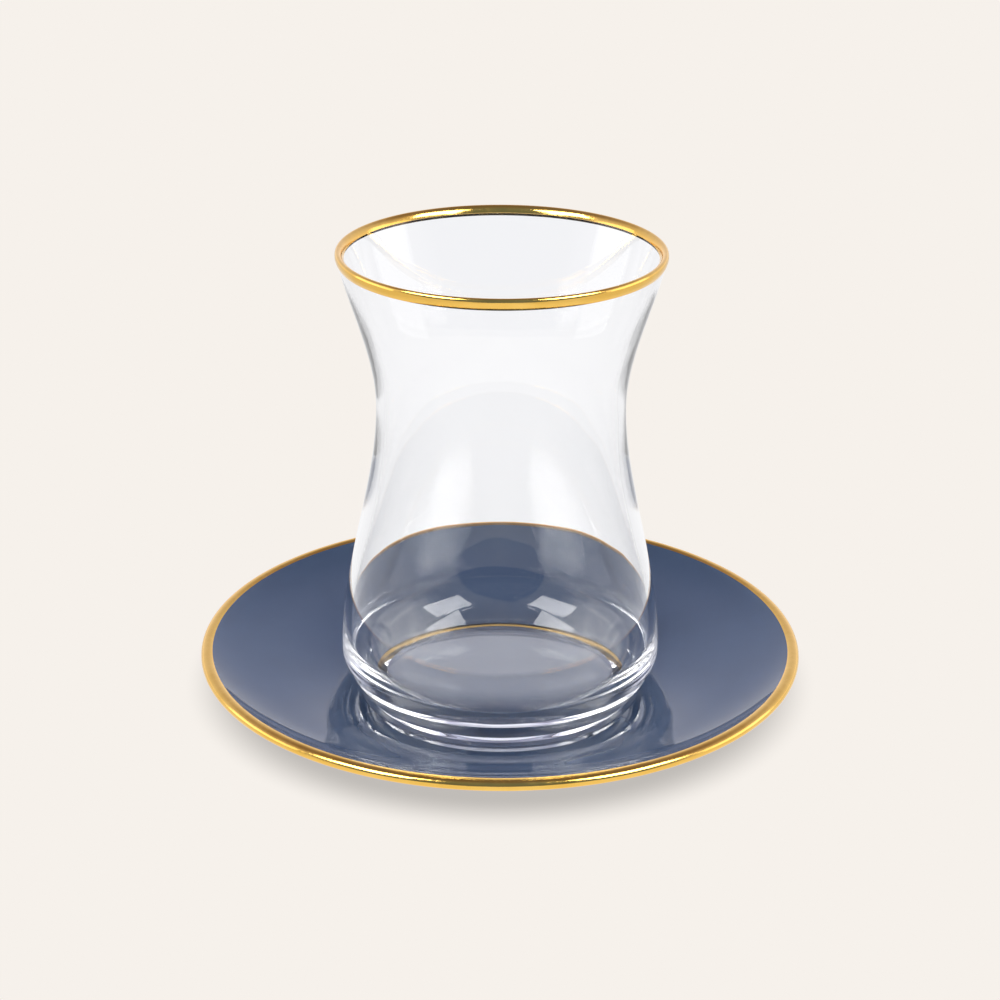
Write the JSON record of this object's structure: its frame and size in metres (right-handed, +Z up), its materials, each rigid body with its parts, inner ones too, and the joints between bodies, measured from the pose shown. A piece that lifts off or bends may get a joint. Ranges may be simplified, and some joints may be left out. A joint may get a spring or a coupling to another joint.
{
  "type": "turkish tea glass",
  "caption": "Empty clear tea glass with a narrow waist and a gilded lip, standing on a round blue saucer with a gilded rim.",
  "frame": {"origin": "middle of the ring that the saucer stands on, at table level", "axes": "+Z up along the axis that everything is turned about; X and Y are alike, and the picture was taken from the -Y side"},
  "size_m": [0.12, 0.12, 0.0966],
  "materials": {
    "clear_glass": "polished",
    "blue_glaze": "gloss",
    "gilding": "polished"
  },
  "bodies": {
    "root": {"tea_glass": "clear_glass", "glass_gold_lip": "gilding", "saucer": "blue_glaze", "saucer_gold_rim": "gilding"}
  },
  "joints": []
}
